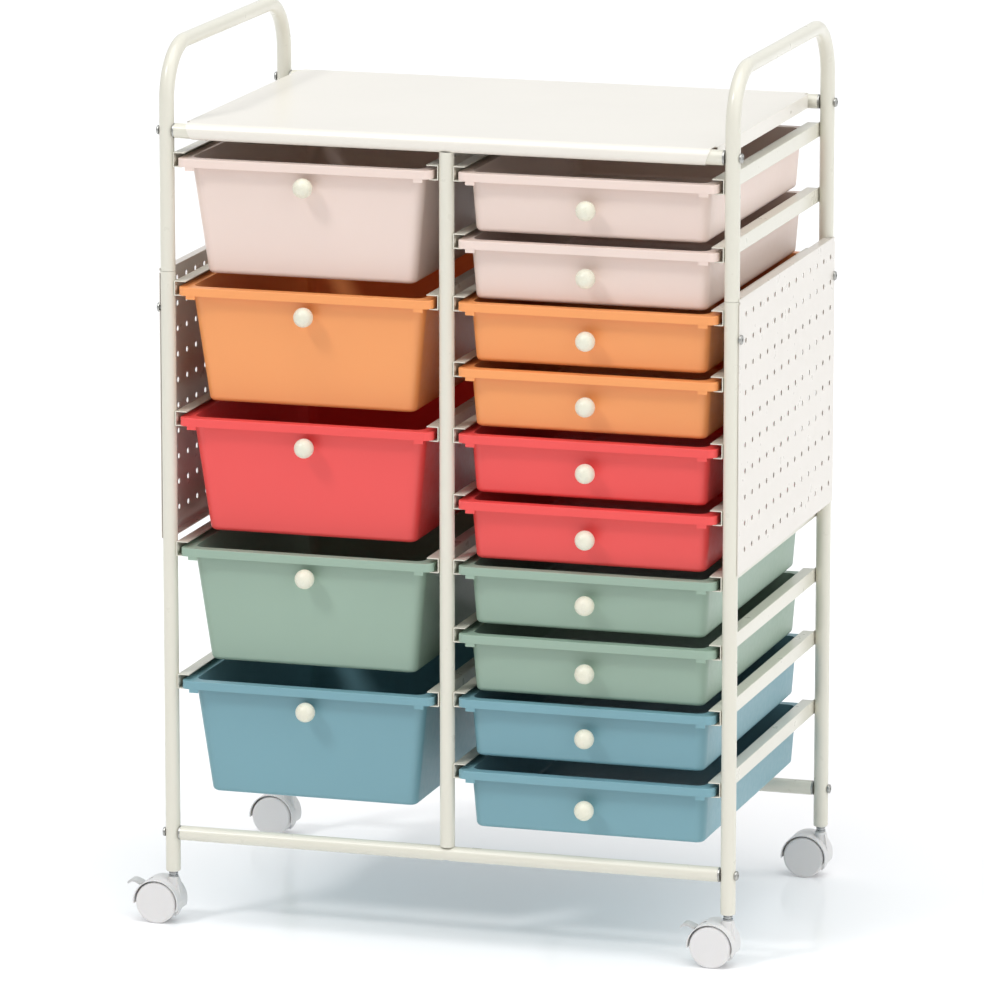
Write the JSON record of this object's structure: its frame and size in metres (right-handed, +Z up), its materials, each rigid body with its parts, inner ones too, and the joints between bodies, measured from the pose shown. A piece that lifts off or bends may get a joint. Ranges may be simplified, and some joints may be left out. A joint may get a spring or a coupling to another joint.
{
  "type": "rolling drawer cart",
  "caption": "Steel storage cart on swivel casters with two columns of pull-out plastic drawers, a sheet tray on top, hooped handles and perforated side panels.",
  "frame": {"origin": "middle of the bounding box's base, on the floor under the cart", "axes": "+Z up, drawers open towards -Y, +X to the viewer's right"},
  "size_m": [0.6794, 0.4275, 0.9566],
  "materials": {
    "cream_paint": "gloss",
    "zinc": "satin",
    "cream_plastic": "satin",
    "drawer_pink": "satin",
    "drawer_orange": "satin",
    "drawer_red": "satin",
    "drawer_green": "satin",
    "drawer_blue": "satin",
    "caster_plastic": "satin",
    "wheel_plastic": "satin",
    "stem_steel": "polished"
  },
  "bodies": {
    "frame": {"left_hoop": "cream_paint", "right_hoop": "cream_paint", "front_posts": "cream_paint", "rear_posts": "cream_paint", "centre_posts": "cream_paint", "front_top_bar": "cream_paint", "rear_top_bar": "cream_paint", "front_bottom_bar": "cream_paint", "rear_bottom_bar": "cream_paint", "top_tray": "cream_paint", "left_panel": "cream_paint", "right_panel": "cream_paint", "left_column_rails": "cream_paint", "right_column_rails": "cream_paint", "rail_rivets": "cream_paint", "bar_inserts": "zinc", "frame_bolts": "zinc", "panel_bolts": "zinc", "caster_sockets": "cream_plastic", "caster_stems": "stem_steel"},
    "drawer_left_1": {"tub_left_1": "drawer_pink", "knob_left_1": "cream_plastic"},
    "drawer_left_2": {"tub_left_2": "drawer_orange", "knob_left_2": "cream_plastic"},
    "drawer_left_3": {"tub_left_3": "drawer_red", "knob_left_3": "cream_plastic"},
    "drawer_left_4": {"tub_left_4": "drawer_green", "knob_left_4": "cream_plastic"},
    "drawer_left_5": {"tub_left_5": "drawer_blue", "knob_left_5": "cream_plastic"},
    "drawer_right_1": {"tub_right_1": "drawer_pink", "knob_right_1": "cream_plastic"},
    "drawer_right_2": {"tub_right_2": "drawer_pink", "knob_right_2": "cream_plastic"},
    "drawer_right_3": {"tub_right_3": "drawer_orange", "knob_right_3": "cream_plastic"},
    "drawer_right_4": {"tub_right_4": "drawer_orange", "knob_right_4": "cream_plastic"},
    "drawer_right_5": {"tub_right_5": "drawer_red", "knob_right_5": "cream_plastic"},
    "drawer_right_6": {"tub_right_6": "drawer_red", "knob_right_6": "cream_plastic"},
    "drawer_right_7": {"tub_right_7": "drawer_green", "knob_right_7": "cream_plastic"},
    "drawer_right_8": {"tub_right_8": "drawer_green", "knob_right_8": "cream_plastic"},
    "drawer_right_9": {"tub_right_9": "drawer_blue", "knob_right_9": "cream_plastic"},
    "drawer_right_10": {"tub_right_10": "drawer_blue", "knob_right_10": "cream_plastic"},
    "caster_front_left": {"hood_front_left": "caster_plastic"},
    "wheel_pair_front_left": {"wheels_front_left": "wheel_plastic"},
    "brake_front_left": {"brake_lever_front_left": "caster_plastic"},
    "caster_front_right": {"hood_front_right": "caster_plastic"},
    "wheel_pair_front_right": {"wheels_front_right": "wheel_plastic"},
    "brake_front_right": {"brake_lever_front_right": "caster_plastic"},
    "caster_rear_left": {"hood_rear_left": "caster_plastic"},
    "wheel_pair_rear_left": {"wheels_rear_left": "wheel_plastic"},
    "caster_rear_right": {"hood_rear_right": "caster_plastic"},
    "wheel_pair_rear_right": {"wheels_rear_right": "wheel_plastic"}
  },
  "joints": [
    {"name": "slide_left_1", "type": "slide", "parent": "frame", "child": "drawer_left_1", "axis": [0, -1, 0], "range_m": [0, 0.25]},
    {"name": "slide_left_2", "type": "slide", "parent": "frame", "child": "drawer_left_2", "axis": [0, -1, 0], "range_m": [0, 0.25]},
    {"name": "slide_left_3", "type": "slide", "parent": "frame", "child": "drawer_left_3", "axis": [0, -1, 0], "range_m": [0, 0.25]},
    {"name": "slide_left_4", "type": "slide", "parent": "frame", "child": "drawer_left_4", "axis": [0, -1, 0], "range_m": [0, 0.25]},
    {"name": "slide_left_5", "type": "slide", "parent": "frame", "child": "drawer_left_5", "axis": [0, -1, 0], "range_m": [0, 0.25]},
    {"name": "slide_right_1", "type": "slide", "parent": "frame", "child": "drawer_right_1", "axis": [0, -1, 0], "range_m": [0, 0.25]},
    {"name": "slide_right_2", "type": "slide", "parent": "frame", "child": "drawer_right_2", "axis": [0, -1, 0], "range_m": [0, 0.25]},
    {"name": "slide_right_3", "type": "slide", "parent": "frame", "child": "drawer_right_3", "axis": [0, -1, 0], "range_m": [0, 0.25]},
    {"name": "slide_right_4", "type": "slide", "parent": "frame", "child": "drawer_right_4", "axis": [0, -1, 0], "range_m": [0, 0.25]},
    {"name": "slide_right_5", "type": "slide", "parent": "frame", "child": "drawer_right_5", "axis": [0, -1, 0], "range_m": [0, 0.25]},
    {"name": "slide_right_6", "type": "slide", "parent": "frame", "child": "drawer_right_6", "axis": [0, -1, 0], "range_m": [0, 0.25]},
    {"name": "slide_right_7", "type": "slide", "parent": "frame", "child": "drawer_right_7", "axis": [0, -1, 0], "range_m": [0, 0.25]},
    {"name": "slide_right_8", "type": "slide", "parent": "frame", "child": "drawer_right_8", "axis": [0, -1, 0], "range_m": [0, 0.25]},
    {"name": "slide_right_9", "type": "slide", "parent": "frame", "child": "drawer_right_9", "axis": [0, -1, 0], "range_m": [0, 0.25]},
    {"name": "slide_right_10", "type": "slide", "parent": "frame", "child": "drawer_right_10", "axis": [0, -1, 0], "range_m": [0, 0.25]},
    {"name": "swivel_front_left", "type": "hinge", "parent": "frame", "child": "caster_front_left", "pos_m": [-0.28908, -0.19075, 0.0501], "axis": [0, 0, 1], "continuous": true},
    {"name": "roll_front_left", "type": "hinge", "parent": "caster_front_left", "child": "wheel_pair_front_left", "pos_m": [-0.30467, -0.19075, 0.0226], "axis": [0, 1, 0], "continuous": true},
    {"name": "brake_front_left", "type": "hinge", "parent": "caster_front_left", "child": "brake_front_left", "pos_m": [-0.31717, -0.19075, 0.0336], "axis": [0, 1, 0], "range_deg": [-16, 0]},
    {"name": "swivel_front_right", "type": "hinge", "parent": "frame", "child": "caster_front_right", "pos_m": [0.32793, -0.19075, 0.0501], "axis": [0, 0, 1], "continuous": true},
    {"name": "roll_front_right", "type": "hinge", "parent": "caster_front_right", "child": "wheel_pair_front_right", "pos_m": [0.31233, -0.19075, 0.0226], "axis": [0, 1, 0], "continuous": true},
    {"name": "brake_front_right", "type": "hinge", "parent": "caster_front_right", "child": "brake_front_right", "pos_m": [0.29983, -0.19075, 0.0336], "axis": [0, 1, 0], "range_deg": [-16, 0]},
    {"name": "swivel_rear_left", "type": "hinge", "parent": "frame", "child": "caster_rear_left", "pos_m": [-0.28908, 0.19725, 0.0501], "axis": [0, 0, 1], "continuous": true},
    {"name": "roll_rear_left", "type": "hinge", "parent": "caster_rear_left", "child": "wheel_pair_rear_left", "pos_m": [-0.30467, 0.19725, 0.0226], "axis": [0, 1, 0], "continuous": true},
    {"name": "swivel_rear_right", "type": "hinge", "parent": "frame", "child": "caster_rear_right", "pos_m": [0.32793, 0.19725, 0.0501], "axis": [0, 0, 1], "continuous": true},
    {"name": "roll_rear_right", "type": "hinge", "parent": "caster_rear_right", "child": "wheel_pair_rear_right", "pos_m": [0.31233, 0.19725, 0.0226], "axis": [0, 1, 0], "continuous": true}
  ]
}
